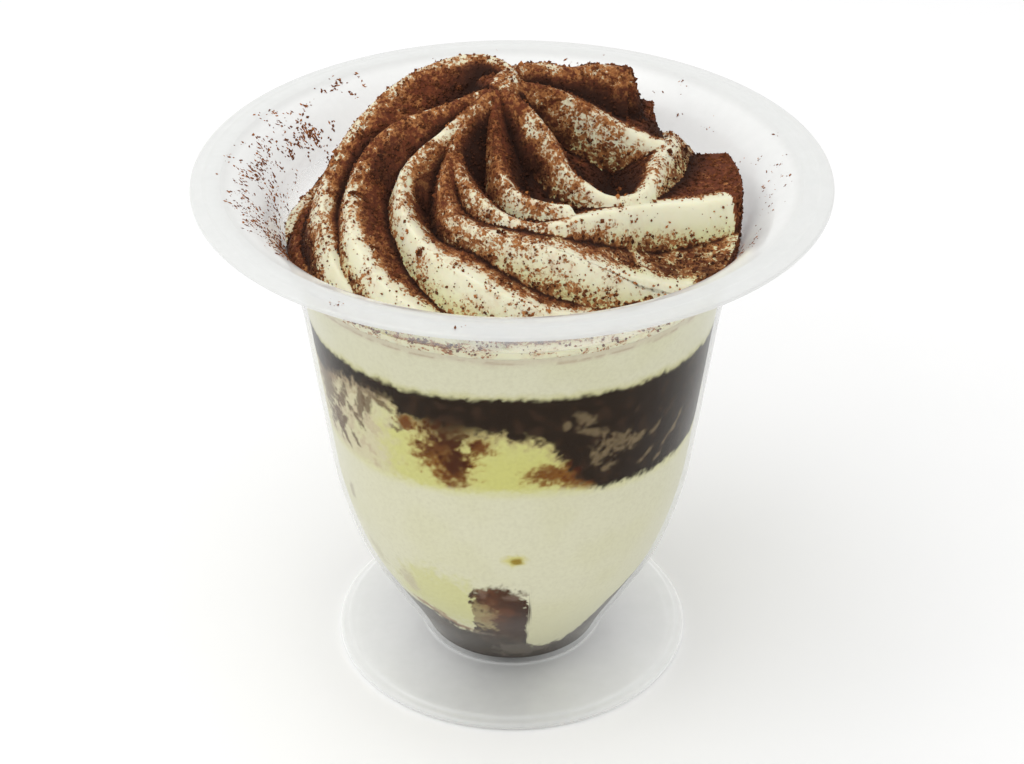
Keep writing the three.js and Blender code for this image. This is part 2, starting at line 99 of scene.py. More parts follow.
# The swirl's ridges, as in the part. `dust` is how much of each the cocoa covers, on the outer
# wall, the crest and the inner side, at even steps from the peak to the end, and `end` is how much
# of a cut end it covers.
RIDGES = [
    dict(crest=[(110, 8, 89), (146, 16, 83), (176, 23, 75.8), (191, 28, 73), (203, 30, 71.6),
               (216, 31.2, 70.4)],
         outer=[1.8, 2.2, 3], inner=[1.2, 0.6, 0.3], shelf=0,
         dust=([0.95, 0.98, 1], [0.85, 0.9, 0.9], [0.9, 0.8, 0.8])),
    dict(crest=[(65, 5, 91.3), (107, 9, 91.8), (150, 12.5, 90.7), (175, 16.5, 88.6), (188, 20.5, 85.7),
               (199, 25.3, 80.6), (213, 28, 77.2), (223, 30, 74.3), (236, 31.5, 71.5)],
         outer=[2, 3, 3], inner=[1, 0.7, 0.2], shelf=0,
         dust=([0.75, 0.8, 0.8, 0.2], [0.42, 0.6, 0.55, 0.08], [0.85, 0.95, 0.8, 0.4])),
    dict(crest=[(207, 8.5, 89.7), (200, 15, 87.8), (203, 20, 84.2), (214, 24.2, 80.4),
               (225, 27.5, 78.3), (237, 30.2, 75.6), (249, 31.6, 73), (260, 32.3, 70.8)],
         outer=[2, 3.2, 3.5], inner=[1.9, 0.5, 0], shelf=6,
         dust=([0.8, 0.8, 0.3, 0], [0.65, 0.72, 0.35, 0.12], [0.98, 0.98, 0.86, 0.55])),
    dict(crest=[(229, 6, 89.6), (222, 15.5, 85.3), (226, 19, 81.8), (242, 23.5, 79), (260, 28, 77),
               (281, 31, 73.2), (298, 31.8, 70.4)],
         outer=[2.4, 4.2, 4.5], inner=[2.6, 1.8, 0.1, -0.12], shelf=7,
         dust=([0.6, 0.34, 0.12, 0.03], [0.65, 0.42, 0.3, 0.38], [0.92, 0.72, 0.68, 0.52])),
    dict(crest=[(229, 6, 89.3), (237, 12, 85.6), (243, 15.5, 83), (252, 19, 80.8), (268, 22.3, 79.9),
               (288, 26, 78.4), (308, 29.8, 74), (322, 32.8, 70.6)],
         outer=[2.2, 3.6, 4.5], inner=[2.2, 1.4, 0, -0.2], shelf=14,
         dust=([0.95, 0.8, 0.3, 0.04], [0.85, 0.7, 0.45, 0.25], [0.97, 0.88, 0.62, 0.5])),
    dict(crest=[(226, 6, 88.6), (238, 11, 85.8), (254, 14.5, 83.2), (269, 18, 81), (284, 20.8, 80.1),
               (301, 21.5, 80.3), (316, 22, 79.6), (333, 24.8, 78.4), (346, 33.5, 77.6)],
         outer=[2.8, 4, 5], inner=[2.4, 1.2, 0.5, 0], shelf=11,
         end=0.97,
         dust=([0.9, 0.8, 0.68, 0.56, 0.12], [0.8, 0.55, 0.5, 0.3, 0.1], [0.98, 0.97, 0.95, 0.98])),
    dict(crest=[(262, 4, 88.9), (268, 7.5, 86.3), (271, 11, 84.2), (278, 14.5, 82.4),
               (289, 17.5, 81.6), (299, 20, 81.4)],
         outer=[3.6, 4], inner=[1.8, 1], shelf=0,
         dust=([0.6, 0.2, 0.05], [0.95, 0.7, 0.3], [0.97, 0.97, 0.92])),
    dict(crest=[(319, 5, 90), (320, 8.5, 87.6), (313, 13, 84), (316, 17, 81.8), (321, 20, 80.3),
               (331, 22.3, 79.9), (342, 22.6, 80.5), (352, 22.8, 81.2), (366, 24.3, 81),
               (380, 26.5, 79.5)],
         outer=[3, 4, 2.5, 1.2], inner=[2.8, 1.6, 0.8, 0.5], shelf=0,
         dust=([0.7, 0.45, 0.14, 0.2, 0.5], [0.75, 0.6, 0.25, 0.35, 0.55], [0.97, 0.95, 0.97, 0.95, 0.9])),
    dict(crest=[(35, 5, 90), (24, 9.5, 88.3), (9, 14.4, 85.6), (6, 18, 83.8), (3, 21, 82.4),
               (3, 23.6, 81.6)],
         outer=[3, 5, 5], inner=[1, 0.2, 0.1], shelf=0,
         dust=([0.75, 0.32, 0.04], [0.8, 0.55, 0.35], [0.95, 0.98, 0.98])),
    dict(crest=[(70, 5, 91.3), (50, 9.5, 90.9), (37, 12.5, 90.2), (30, 16.6, 90.2), (24, 20.4, 89.6)],
         outer=[1.6, 2.4], inner=[0.9, 0.5], shelf=0,
         dust=([0.68, 0.8, 0.78], [0.5, 0.7, 0.7], [0.72, 0.85])),
    dict(crest=[(70, 8, 89.6), (62, 16, 85.5), (58, 23.6, 80), (70, 30, 75), (86, 31.8, 71)],
         outer=[1.8, 3], inner=[1.2, 0.4, 0.2], shelf=0,
         dust=([0.8, 0.35, 0.15], [0.8, 0.5, 0.35], [0.97, 0.95, 0.85])),
    dict(crest=[(85, 8, 89.6), (80, 16, 85.2), (88, 23.6, 79), (108, 29.8, 74), (125, 31.8, 70.5)],
         outer=[1.8, 3], inner=[1.2, 0.4, 0.2], shelf=0,
         dust=([0.8, 0.35, 0.15], [0.8, 0.5, 0.35], [0.97, 0.95, 0.85])),
    dict(crest=[(98, 8, 89.3), (102, 16, 84), (118, 23.6, 77.5), (142, 29.5, 72.5), (160, 31.6, 69.8)],
         outer=[1.8, 3], inner=[1.2, 0.4, 0.2], shelf=0,
         dust=([0.85, 0.4, 0.2], [0.85, 0.5, 0.35], [0.97, 0.95, 0.85])),
    dict(crest=[(112, 8, 89), (126, 16, 83), (150, 23, 76), (172, 28, 71.8), (190, 31.3, 69.6)],
         outer=[1.8, 3], inner=[1.2, 0.4, 0.2], shelf=0,
         dust=([0.9, 0.5, 0.3], [0.9, 0.6, 0.4], [0.97, 0.95, 0.85])),
]

CLUMP_COUNT = 24
CLUMP_RADIUS = 0.55
CLUMP_SEED = 11

# ---- How finely the pieces are divided ----

CUP_SIDES = 256
LAYER_SIDES = 640
SWIRL_SIDES = 560
SWIRL_RINGS = 158
SWIRL_SIDE_ROWS = 8
SWIRL_TWIST = 80
REACH_INTO_WALL = 0.12  # food overlaps the wall by this much, so that no air gap shows
SHARP_ANGLE = 50
GRAIN_COUNT = 23000
GRAIN_LIMIT = 0.4
FLECK_LIMIT = 0.26
GRAINS_IN_CLUMP = 26


# ---- Small helpers ----

def smoothstep(low, high, value):
    t = np.clip((value - low) / (high - low), 0, 1)
    return t * t * (3 - 2 * t)


def wrap(angle):
    """Angle from -180 to 180 degrees."""
    return (angle + 180) % 360 - 180


def linear(red, green, blue):
    """Linear light of a colour given from 0 to 255."""
    share = np.array([red, green, blue]) / 255
    return np.where(share <= 0.04045, share / 12.92, ((share + 0.055) / 1.055) ** 2.4)


class Noise:
    """Smooth value noise from 0 to 1 in three dimensions."""

    def __init__(self, seed):
        self.table = np.random.RandomState(seed).rand(32, 32, 32)

    def __call__(self, points, scale, octaves=1):
        total = np.zeros(len(points))
        weight = 0
        for octave in range(octaves):
            place = points / scale * 2 ** octave + 7.3 * octave
            cell = np.floor(place).astype(int)
            part = place - cell
            part = part * part * (3 - 2 * part)
            for corner in np.ndindex(2, 2, 2):
                share = np.prod(np.where(corner, part, 1 - part), axis=1)
                x, y, z = ((cell + corner) % 32).T
                total += share * self.table[x, y, z] * 0.5 ** octave
            weight += 0.5 ** octave
        return total / weight


noise = Noise(4)


def catmull(a, b, c, d, t):
    return 0.5 * (2 * b + (c - a) * t + (2 * a - 5 * b + 4 * c - d) * t ** 2
                  + (3 * b - a - 3 * c + d) * t ** 3)


def edge_height(edge, angle):
    knots = edge + [[edge[0][0] + 360, edge[0][1]]]
    return np.interp(wrap(angle), [k[0] for k in knots], [k[1] for k in knots])


# ---- Meshes ----

def make_object(name, points, quads=None, tris=None):
    """A smooth-shaded object from points in millimetres."""
    groups = [faces for faces in (quads, tris) if faces is not None and len(faces)]
    corners = np.concatenate([faces.ravel() for faces in groups])
    sizes = np.concatenate([np.full(len(faces), faces.shape[1]) for faces in groups])
    mesh = bpy.data.meshes.new(name)
    mesh.vertices.add(len(points))
    mesh.vertices.foreach_set("co", (np.asarray(points) * MM).ravel())
    mesh.loops.add(len(corners))
    mesh.loops.foreach_set("vertex_index", corners)
    mesh.polygons.add(len(sizes))
    mesh.polygons.foreach_set("loop_start", np.cumsum(sizes) - sizes)
    mesh.update(calc_edges=True)
    mesh.validate()
    mesh.shade_smooth()
    piece = bpy.data.objects.new(name, mesh)
    bpy.context.scene.collection.objects.link(piece)
    return piece


def set_value(piece, name, values):
    piece.data.attributes.new(name, "FLOAT", "POINT").data.foreach_set("value", values)


def set_colour(piece, name, colours):
    rgba = np.column_stack([np.clip(colours, 0, 1), np.ones(len(colours))])
    piece.data.attributes.new(name, "FLOAT_COLOR", "POINT").data.foreach_set("color", rgba.ravel())


def ring_faces(rows, sides):
    row, side = np.meshgrid(np.arange(rows - 1), np.arange(sides), indexing="ij")
    a = row * sides + side
    b = row * sides + (side + 1) % sides
    return np.stack([a, b, b + sides, a + sides], -1).reshape(-1, 4)


def fans(rows, sides):
    """Fans to the bottom centre and the top centre, the last two points of a closed body."""
    side = np.arange(sides)
    after = (side + 1) % sides
    bottom = np.full(sides, rows * sides)
    last = (rows - 1) * sides
    return np.concatenate([
        np.stack([bottom, after, side], -1),
        np.stack([bottom + 1, last + side, last + after], -1),
    ])


def finish_piece(piece, material, replaces=()):
    piece.data.materials.append(material)
    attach(piece, "root")
    if replaces:
        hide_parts(*replaces)


# ---- The cup's profile ----

def spline(points, count):
    points = np.array(points, float)
    last = len(points) - 1
    place = np.linspace(0, 1, count) * last
    index = np.minimum(place.astype(int), last - 1)
    t = (place - index)[:, None]
    before, after = np.maximum(index - 1, 0), np.minimum(index + 2, last)
    return catmull(points[before], points[index], points[index + 1], points[after], t)


outer_wall = spline(OUTER_WALL, WALL_STEPS)
tangent = np.gradient(outer_wall, axis=0)
tangent /= np.linalg.norm(tangent, axis=1, keepdims=True)
inner_wall = outer_wall + WALL * np.column_stack([-tangent[:, 1], tangent[:, 0]])
inner_wall = inner_wall[inner_wall[:, 1] > FLOOR_HEIGHT]


def inner_radius(z):
    return np.interp(z, inner_wall[:, 1], inner_wall[:, 0])


def soften(points, rounds=3):
    """Rounds a line's corners by cutting them, with its ends kept."""
    points = np.array(points, float)
    for _ in range(rounds):
        low = points[:-1] * 0.75 + points[1:] * 0.25
        high = points[:-1] * 0.25 + points[1:] * 0.75
        cut = np.stack([low, high], 1).reshape(-1, 2)
        points = np.concatenate([points[:1], cut[1:-1], points[-1:]])
    return points


def cup_profile():
    """The profile from the underside's centre round to the floor's, and where its inside starts."""
    underside = soften([
        [1, 0.8], [8, 0.8], [16, 0.8], [23.9, 0.8], [24.4, 0.75], [24.6, 0], [25.6, 0],
        [FOOT_RADIUS - 0.4, 0], [FOOT_RADIUS, 0.35], [FOOT_RADIUS, 0.75], [FOOT_RADIUS - 0.3, 1.1],
        [FOOT_RADIUS - 1.1, 1.25], [FOOT_RADIUS - 1.5, 1.5], [FOOT_RADIUS - 2.2, 1.55],
        [20, 1.65], [15.2, FOOT_TOP - 0.05], [14.2, 1.85],
    ])
    brim = soften([
        [42.6, RIM_HEIGHT - 0.75], [RIM_RADIUS - 0.6, RIM_HEIGHT - BRIM_THICKNESS - 0.3],
        [RIM_RADIUS - 0.05, RIM_HEIGHT - 0.95], [RIM_RADIUS, RIM_HEIGHT - 0.55],
        [RIM_RADIUS - 0.25, RIM_HEIGHT - 0.25], [43.6, RIM_HEIGHT - 0.1],
        [43.2, RIM_HEIGHT - 0.02], [42.8, RIM_HEIGHT - 0.08], [42.0, RIM_HEIGHT],
    ])
    outside = outer_wall[::WALL_STRIDE]
    inside = inner_wall[::-WALL_STRIDE]
    floor = soften([[inner_wall[0, 0] - 0.5, FLOOR_HEIGHT - 0.12], [8, 2.65], [1, 2.65]], 2)
    profile = np.concatenate([underside, outside, brim, inside, floor])
    return profile, len(underside) + len(outside) + len(brim)


MILK_HEIGHTS = [0, 2.0, 2.5, 4, 67, 70, 74, 79]
MILK_SHARES = [0.5, 0.5, 0.06, 0.004, 0.004, 0.15, 0.45, 0.6]
CLEAR = 0.004
FOOD_LINE = 69
# Strengths of the painted glow, an emission in place of light through the plastic.
FLARE_PAINTED_GLOW = 0.1
FOOT_PAINTED_GLOW = 0.19


def make_cup():
    profile, first_inside = cup_profile()
    rows = len(profile)
    angle = np.arange(CUP_SIDES) * 2 * np.pi / CUP_SIDES
    radius, z = profile.T
    points = np.stack([
        np.outer(radius, np.cos(angle)), np.outer(radius, np.sin(angle)),
        np.repeat(z[:, None], CUP_SIDES, 1),
    ], -1).reshape(-1, 3)
    ends = np.array([[0, 0, z[0]], [0, 0, z[-1]]])
    points = np.concatenate([points, ends])
    piece = make_object("cup_clear", points, ring_faces(rows, CUP_SIDES), fans(rows, CUP_SIDES))
    # Milky where there is air behind the plastic, clear where food touches it.
    touches_food = (np.arange(rows) >= first_inside) & (z < FOOD_LINE)
    milk = np.where(touches_food, CLEAR, np.interp(z, MILK_HEIGHTS, MILK_SHARES))
    set_value(piece, "milk", np.concatenate([np.repeat(milk, CUP_SIDES), [MILK_SHARES[0], CLEAR]]))
    # Painted glow standing in for light that the thin milky plastic lets through: less on the front of the
    # flare, with painted shade at the front of the foot.
    flare = smoothstep(68, 73, z) * smoothstep(79.3, 78.6, z)
    foot = smoothstep(2.4, 2.0, z)
    front = np.exp(-((wrap(np.degrees(angle) + 90)) / 38) ** 2)
    painted_glow = np.outer(flare, FLARE_PAINTED_GLOW + 0.06 * np.sin(angle)) + np.outer(foot, FOOT_PAINTED_GLOW - 0.17 * front)
    set_value(piece, "painted_glow", np.concatenate([painted_glow.ravel(), [0.1, 0]]))
    return piece


# ---- Layers ----

def wavy(edge, middle, seed, size=0.35):
    """A boundary between two layers as a height at (angle, share of the radius)."""
    wave = Noise(seed)

    def height(angle, share):
        turn = np.radians(angle)
        around = 29 * np.column_stack([np.cos(turn), np.sin(turn), 0 * turn])
        ripple = size * (2 * wave(around, 1.6, 3) - 1) * share
        return middle + (edge_height(edge, angle) - middle) * share ** 2 + ripple

    return height


def level(z):
    return lambda angle, share: np.full(len(angle), float(z))


floor_level = level(FLOOR_HEIGHT)
sponge_base = wavy(SPONGE_BASE_EDGE, SPONGE_BASE_TOP, 21, 0.6)
lower_cream = wavy(LOWER_CREAM_EDGE, LOWER_CREAM_TOP, 22, 0.45)
upper_sponge = wavy(UPPER_SPONGE_EDGE, UPPER_SPONGE_TOP, 23, 0.3)
upper_cream = level(UPPER_CREAM_TOP)

CAP_SHARES = [0.2, 0.4, 0.6, 0.75, 0.88, 0.96]


def make_layer(name, bottom, top, side_rows):
    """A closed body filling the cup between two boundaries."""
    angle = np.arange(LAYER_SIDES) * 360 / LAYER_SIDES
    turn = np.radians(angle)
    rows = []

    def add(radius, z):
        rows.append(np.column_stack([radius * np.cos(turn), radius * np.sin(turn), z]))

    def wall(z):
        return inner_radius(z) + REACH_INTO_WALL

    for share in CAP_SHARES:
        add(share * wall(bottom(angle, 1)), bottom(angle, share))
    low, high = bottom(angle, 1), top(angle, 1)
    for share in np.linspace(0, 1, side_rows + 1):
        z = low + (high - low) * share
        add(wall(z), z)
    for share in reversed(CAP_SHARES):
        add(share * wall(high), top(angle, share))
    ends = np.array([[0, 0, bottom(angle, 0)[0]], [0, 0, top(angle, 0)[0]]])
    points = np.concatenate(rows + [ends])
    count = len(rows)
    layer = make_object(name, points, ring_faces(count, LAYER_SIDES), fans(count, LAYER_SIDES))
    layer.data.set_sharp_from_angle(angle=math.radians(SHARP_ANGLE))
    return layer, points


class Paint:
    """Colours of a layer's points, laid over each other."""

    def __init__(self, points, colour):
        self.points = points
        self.angle = np.degrees(np.arctan2(points[:, 1], points[:, 0]))
        self.z = points[:, 2]
        self.radius = np.hypot(points[:, 0], points[:, 1])
        self.colours = np.repeat(linear(*colour)[None], len(points), 0)
        self.rough = noise(points, 1.3, 3) - 0.5
        self.fine = noise(points + 50, 0.55, 2) - 0.5
        self.broad = noise(points + 90, 6, 2) - 0.5

    def lay(self, mask, colour):
        share = np.clip(mask, 0, 1)[:, None]
        self.colours = self.colours * (1 - share) + linear(*colour) * share

    def above(self, edge, softness=0.5, raggedness=1.6):
        """1 above a line of (angle, height) and 0 below it."""
        angle = self.angle + 3.5 * raggedness * self.rough
        height = self.z - edge_height(edge, angle) + raggedness * (self.rough + self.fine)
        return smoothstep(-softness, softness, height)

    def blob(self, angle, z, wide, high, tilt=0, ragged=0.9, soft=0.45):
        """1 inside a ragged patch, of half width and half height in millimetres."""
        across = np.radians(wrap(self.angle - angle)) * self.radius
        up = self.z - z
        turn = math.radians(tilt)
        along = across * math.cos(turn) + up * math.sin(turn)
        aside = up * math.cos(turn) - across * math.sin(turn)
        reach = np.hypot(along / wide, aside / high) + ragged * (self.rough + self.fine)
        return smoothstep(1 + soft, 1 - soft, reach)

    def streaks(self, scale, low, high, seed):
        """Ragged patches by chance, wherever the noise is high."""
        return smoothstep(low, high, noise(self.points + seed, scale, 3))


DARK = (46, 37, 30)
RUST = (104, 60, 34)
OCHRE = (158, 112, 48)
YELLOW = (203, 201, 132)
LEMON = (207, 205, 160)
IVORY = (215, 213, 186)
BLUSH = (190, 174, 146)
TAN = (152, 122, 92)

# Lower edge of the coffee-soaked band in the upper sponge.
SOAKED_ABOVE = [
    [-180, 55], [-159, 53.5], [-144, 56], [-137, 56.5], [-129, 56.6], [-123, 56.6], [-121, 54.8],
    [-116, 54.5], [-104, 54.2], [-93, 54], [-88, 53.2], [-82, 52.3], [-77, 51.2], [-74.5, 49],
    [-72, 46.6], [-67, 44], [-63, 42], [-56, 40], [-20, 39], [-4, 41], [6, 47], [18, 53],
    [40, 55], [62, 53], [75, 48], [88, 50], [100, 55], [124, 54], [136, 45], [146, 44], [156, 52],
]

# Upper edge of the soaked part of the lower sponge.
SOAKED_BELOW = [
    [-180, 13], [-150, 14], [-137, 14], [-133, 13.5], [-124, 12.3], [-118, 10.8], [-111, 10.2],
    [-108, 11], [-104, 23.8], [-101, 23.5], [-91, 24.4], [-88.5, 23], [-84.5, 22.2],
    [-82, 8], [-77, 6.1], [-61, 6], [-51, 8.5], [-46, 11], [-40, 14.5], [-33, 17], [-25, 18],
    [-10, 15.5], [12, 11], [36, 10.5], [52, 12], [60, 17], [78, 16.5], [86, 12], [96, 10],
    [114, 11], [138, 16.5], [156, 15.5],
]


def upper_sponge_colours(points):
    paint = Paint(points, YELLOW)
    left = smoothstep(-122, -134, paint.angle + 14 * paint.rough)
    left = left * smoothstep(-179, -165, paint.angle)
    paint.lay(0.8 * left, (206, 198, 170))
    paint.lay(0.6 * smoothstep(0.05, 0.3, paint.broad), LEMON)
    paint.lay(0.45 * paint.blob(-87, 46.5, 7.5, 4, 0, 0.5, 0.5), (200, 198, 112))
    paint.lay(0.7 * paint.streaks(1.4, 0.52, 0.66, 10) * left, BLUSH)
    # Soaked crumb fading out under the dark band.
    paint.lay(0.6 * paint.above([[a, z - 1.2] for a, z in SOAKED_ABOVE], 1.2, 3), TAN)
    for angle, z, wide, high, tilt in [
        (-157, 50.5, 3.4, 5.2, 0), (-152, 47.5, 2.0, 1.6, 0), (-146, 52.2, 0.9, 2.6, -30),
        (-137, 53, 0.8, 3.0, -12), (-134, 53.5, 0.7, 1.8, -8), (-141, 50.4, 2.2, 0.5, -38),
        (-148, 47, 0.5, 2.2, -42), (-150, 45, 2.4, 0.5, -46), (-143.5, 46, 1.6, 0.4, -46),
        (-128.5, 55.2, 2.6, 0.5, -20), (-131, 57.2, 2.4, 0.4, -12), (-122, 53, 0.8, 1.6, -20),
        (-123.5, 51.6, 0.9, 0.6, 0),
    ]:
        paint.lay(0.85 * paint.blob(angle, z, wide, high, tilt, 1.8), (106, 86, 64))
    for angle, z, wide, high in [
        (-110, 50.4, 3.9, 4.2), (-107, 46.4, 2.6, 3.0), (-120.5, 53.4, 1.5, 1.1), (-77, 46.4, 3.6, 1.7),
        (-68, 45.6, 4.2, 2.8), (-99, 51.6, 1.7, 1.3), (94, 47, 2.4, 2.8), (22, 49, 2.6, 1.8),
        (112, 51, 1.6, 1.4), (160, 48, 2.8, 1.6),
    ]:
        paint.lay(0.75 * paint.blob(angle, z, wide, high, 0, 1.4, 0.6), OCHRE)
        paint.lay(0.9 * paint.blob(angle, z, 0.84 * wide, 0.88 * high, 0, 1.4, 0.55), RUST)
    for angle, z, wide, high in [
        (-108.5, 52.4, 3.2, 2.8), (-106.5, 48.2, 1.6, 2.2), (-69.5, 49.6, 2.8, 2.4),
        (-65, 46.6, 2.8, 2.0), (94, 48, 1.4, 1.6),
    ]:
        paint.lay(0.85 * paint.blob(angle, z, wide, high, 0, 1.6, 0.6), (66, 38, 28))
    dark = paint.above(SOAKED_ABOVE, 1.0, 2.4)
    paint.lay(dark, DARK)
    paint.lay(0.55 * dark * paint.streaks(1.1, 0.52, 0.7, 30), (70, 54, 42))
    for angle, z, wide, high, tilt in [
        (-58, 49.8, 2.8, 1.4, 0), (-52, 49, 1.4, 0.8, 20), (-65, 48.2, 1.0, 1.2, 0),
        (-61.8, 46, 1.0, 0.6, 20), (-45.5, 49.3, 1.1, 0.4, 30), (-34.5, 47.6, 2.1, 0.4, 52),
        (-39, 46, 0.9, 0.35, 45), (-47, 45.4, 1.5, 0.4, 35), (-42, 43.6, 0.8, 0.35, 30),
        (-69.5, 55.6, 1.5, 0.7, -30), (-75, 55, 0.5, 0.9, 10), (-67, 53, 2.0, 0.6, -20),
        (70, 52, 2.4, 1.3, 0), (140, 49, 2.8, 1.5, 10), (-4, 47, 1.8, 1.1, 0), (12, 51.5, 1.5, 0.6, 30),
    ]:
        paint.lay(0.55 * paint.blob(angle, z, wide, high, tilt, 1.7, 0.6), (142, 124, 94))
    return paint.colours


def lower_sponge_colours(points):
    paint = Paint(points, (58, 47, 37))
    paint.lay(0.6 * paint.streaks(1.3, 0.5, 0.7, 12), (80, 66, 53))
    chunk = paint.blob(-92, 19, 6.6, 8.5, 0, 0.6)
    paint.lay(chunk, (76, 50, 34))
    paint.lay(0.8 * paint.blob(-85.5, 16, 2.6, 5.5, 0, 1.4), (58, 38, 29))
    paint.lay(0.6 * paint.blob(-103.5, 16.5, 2.2, 3.6, 0, 1.8), (186, 172, 120))
    for angle, z, wide, high in [
        (-93.5, 18, 1.7, 1.3), (-99, 20.5, 1.3, 1.8), (-97.5, 15.6, 1.8, 1.0), (-101, 23, 1.6, 0.6),
    ]:
        paint.lay(0.4 * paint.blob(angle, z, wide, high, 0, 1.8, 0.7), (122, 74, 48))
    paint.lay(0.6 * paint.blob(-87.5, 22, 1.8, 0.7, 0, 1.6), (128, 106, 92))
    paint.lay(0.6 * paint.blob(-100.5, 22.4, 0.7, 1.0, 0, 1.2), (130, 104, 88))
    # Painted reflection: a lighter grey patch low at the front, where the plastic's bottom catches light.
    paint.lay(0.6 * paint.blob(-86, 5.4, 3.6, 1.6, 0, 1.2), (112, 104, 92))
    paint.lay(0.5 * paint.blob(-106, 10.2, 1.8, 0.5, 0, 1.2), (128, 118, 104))
    return paint.colours


def paint_cream(points):
    paint = Paint(points, IVORY)
    paint.lay(0.35 * smoothstep(-0.1, 0.3, paint.broad), (209, 207, 170))
    paint.lay(0.5 * smoothstep(24, 12, paint.z), (207, 205, 160))
    below = edge_height(LOWER_CREAM_EDGE, paint.angle) - paint.z
    paint.lay(0.4 * smoothstep(1.8, 0.0, below + paint.rough) * (below > -2), (206, 204, 128))
    above = paint.z - edge_height(UPPER_SPONGE_EDGE, paint.angle)
    paint.lay(0.6 * smoothstep(1.4, 0.0, above + 1.5 * paint.rough) * (above > -2), (192, 188, 120))
    paint.lay(0.5 * smoothstep(65.6, 67.4, paint.z + 1.4 * paint.rough), (196, 180, 156))
    # A broken pinkish line just under the flare.
    line = smoothstep(0.35, 0, np.abs(paint.z - 66.7 + 0.8 * paint.broad))
    paint.lay(0.45 * line * smoothstep(0.0, 0.2, paint.rough + 0.1), (150, 116, 96))
    # A paler crumb of sponge pressed against the wall on the lower left.
    paint.lay(0.75 * paint.blob(-117, 19.2, 7.6, 6.4, 0, 0.7, 0.4), (203, 202, 138))
    paint.lay(0.6 * paint.blob(-131.5, 20.5, 1.6, 2.2, 0, 1.2), (186, 174, 156))
    for angle, z, wide, tilt in [(-129, 14.6, 2.4, -18), (-122, 12.6, 2.2, -24), (-115, 11.2, 2.0, -8)]:
        paint.lay(0.8 * paint.blob(angle, z, wide, 0.65, tilt, 1.3), (136, 92, 58))
    paint.lay(0.8 * paint.blob(-89.3, 30.4, 1.5, 1.1, 0, 0.8, 0.5), (200, 192, 100))
    paint.lay(0.9 * paint.blob(-88.6, 30.2, 0.75, 0.6, 0, 0.8, 0.4), (142, 116, 40))
    paint.lay(0.6 * paint.blob(-153, 33, 0.7, 1.6, 0, 1.2), (160, 148, 126))
    paint.lay(0.5 * paint.blob(-147, 23, 2.0, 1.4, -50, 1.6), (188, 182, 150))
    paint.lay(0.6 * paint.blob(48, 28, 1.0, 0.7), (162, 138, 76))
    return paint


def side_colours(points):
    """The colours of all the food along the wall, with ragged edges between the layers."""
    cream = paint_cream(points)
    in_upper = cream.above(LOWER_CREAM_EDGE, 0.6, 1.1) * (1 - cream.above(UPPER_SPONGE_EDGE, 0.45, 0.9))
    in_lower = 1 - cream.above(SOAKED_BELOW, 0.7, 2.0)
    for share, sponge_colours in ((in_upper, upper_sponge_colours), (in_lower, lower_sponge_colours)):
        share = share[:, None]
        cream.colours = cream.colours * (1 - share) + sponge_colours(points) * share
    return cream.colours


# ---- Cream swirl ----

def crest_points(knots):
    """Points along a crest, smoothly from the peak through the ridge's knots."""
    knots = np.array(knots, float)
    first = np.array([2 * knots[0, 0] - knots[1, 0], 0, SWIRL_PEAK])
    before = [2 * first[0] - knots[0, 0], -knots[0, 1], knots[0, 2]]
    every = np.vstack([before, first, knots, 2 * knots[-1] - knots[-2]])
    place = CREST_START + (len(knots) - CREST_START) * np.arange(RIDGE_STEPS + 1) / RIDGE_STEPS
    index = np.minimum(place.astype(int), len(knots) - 1)
    t = (place - index)[:, None]
    angle, radius, z = catmull(*(every[index + k] for k in range(4)), t).T
    turn = np.radians(angle)
    return np.column_stack([
        SWIRL_CENTRE[0] + radius * np.cos(turn), SWIRL_CENTRE[1] + radius * np.sin(turn), z,
    ])


def value_along(values, share):
    """The value at a share from 0 to 1 of a list of evenly spaced values."""
    return np.interp(share, np.linspace(0, 1, len(values)), values)


def along_ridge(ridge, x, y):
    """Height of one ridge at (x, y), distance from its crest, share along it, whether on its inner
    side, and how far past its end."""
    points = crest_points(ridge["crest"])
    steps = len(points) - 1
    nearest = np.full(len(x), np.inf)
    crest, share, past = np.zeros(len(x)), np.zeros(len(x)), np.zeros(len(x))
    inside = np.zeros(len(x), bool)
    for i in range(steps):
        (ax, ay, az), (bx, by, bz) = points[i], points[i + 1]
        dx, dy = bx - ax, by - ay
        along = ((x - ax) * dx + (y - ay) * dy) / (dx * dx + dy * dy)
        t = np.clip(along, 0, 1)
        ex, ey = x - ax - t * dx, y - ay - t * dy
        distance = np.hypot(ex, ey)
        closer = distance < nearest
        nearest = np.where(closer, distance, nearest)
        crest = np.where(closer, az + t * (bz - az), crest)
        share = np.where(closer, (i + t) / steps, share)
        inside = np.where(closer, dx * ey - dy * ex > 0, inside)
        ahead = np.maximum(along - 1, 0) * math.hypot(dx, dy) * (i == steps - 1)
        past = np.where(closer, ahead, past)
    rounded = np.hypot(nearest, CREST_ROUNDING) - CREST_ROUNDING
    beyond = SHELF_FALL * np.maximum(nearest - SHELF_WIDTH, 0)
    cut = END_SLOPE * np.maximum(past - ridge["shelf"], 0)
    inner_drop = value_along(ridge["inner"], share) * rounded + beyond + cut
    slope = value_along(ridge["outer"], share)
    outer_drop = np.where(past > 0, np.maximum(slope, END_SLOPE), slope) * rounded
    return crest - np.where(inside, inner_drop, outer_drop), nearest, share, inside, past


WAVER = 0.45
FAR_BELOW = 9
POWDER_THICKNESS = 0.12
SKIN_RELIEF = 0.16


